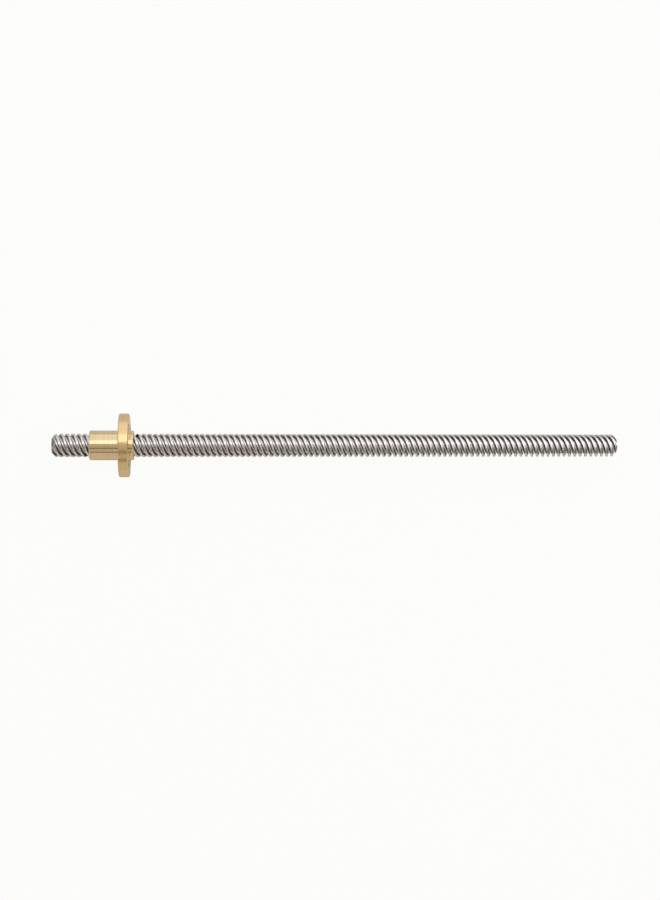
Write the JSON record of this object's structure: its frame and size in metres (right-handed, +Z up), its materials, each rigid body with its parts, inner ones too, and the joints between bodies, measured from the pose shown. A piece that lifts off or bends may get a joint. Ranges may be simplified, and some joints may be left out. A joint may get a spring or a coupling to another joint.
{
  "type": "trapezoidal lead screw",
  "caption": "Steel lead screw with a multi-start trapezoidal thread and a round flanged brass nut that travels along it.",
  "frame": {"origin": "on the table, under the middle of the object's box", "axes": "+X along the screw, from the nut's end to the far end, leaning down 2.3 degrees; +Z up from the table; +Y to the left of +X"},
  "size_m": [0.2, 0.022, 0.0221],
  "materials": {
    "rolled_steel": "bright rolled stainless steel, smooth on the crests and duller in the grooves",
    "turned_brass": "bright turned brass with fine lathe lines round it"
  },
  "bodies": {
    "screw": {"lead_screw": "rolled_steel"},
    "nut": {"flange_nut": "turned_brass"}
  },
  "joints": [
    {"name": "nut_travel", "type": "slide", "parent": "screw", "child": "nut", "axis": [0.9992, 0, -0.0404], "range_m": [-0.01, 0.17]}
  ]
}
